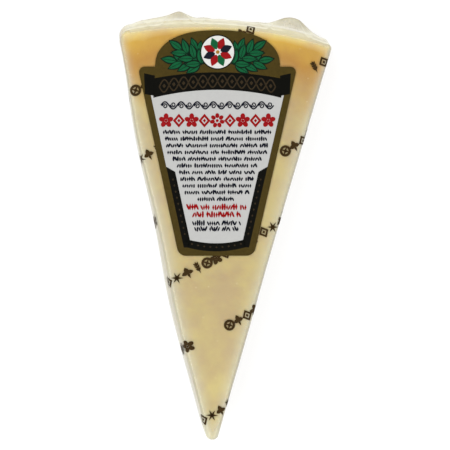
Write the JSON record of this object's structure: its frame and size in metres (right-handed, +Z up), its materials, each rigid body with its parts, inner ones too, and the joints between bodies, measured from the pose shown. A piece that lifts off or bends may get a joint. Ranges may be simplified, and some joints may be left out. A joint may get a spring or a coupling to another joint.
{
  "type": "parmesan cheese wedge in a sealed film bag",
  "caption": "Thin wedge of hard cheese, shrink-wrapped in clear printed film with a sealed end at the rind, lying flat with its die-cut label facing up.",
  "frame": {"origin": "middle of the box round the part, on the surface that the pack lies on", "axes": "+Z up out of the labelled face, +Y from the wedge's tip towards its rind, +X to the right of a reader of the label"},
  "size_m": [0.0896, 0.1838, 0.0234],
  "materials": {
    "film_wrapped_cheese": "straw-coloured cheese under clear, tightly shrunk film with small dark brown print",
    "label_face": "semi-gloss printed label with an olive-brown border, a black band and a pale panel"
  },
  "bodies": {
    "root": {"film_wrapped_wedge": "film_wrapped_cheese", "label": "label_face"}
  },
  "joints": []
}
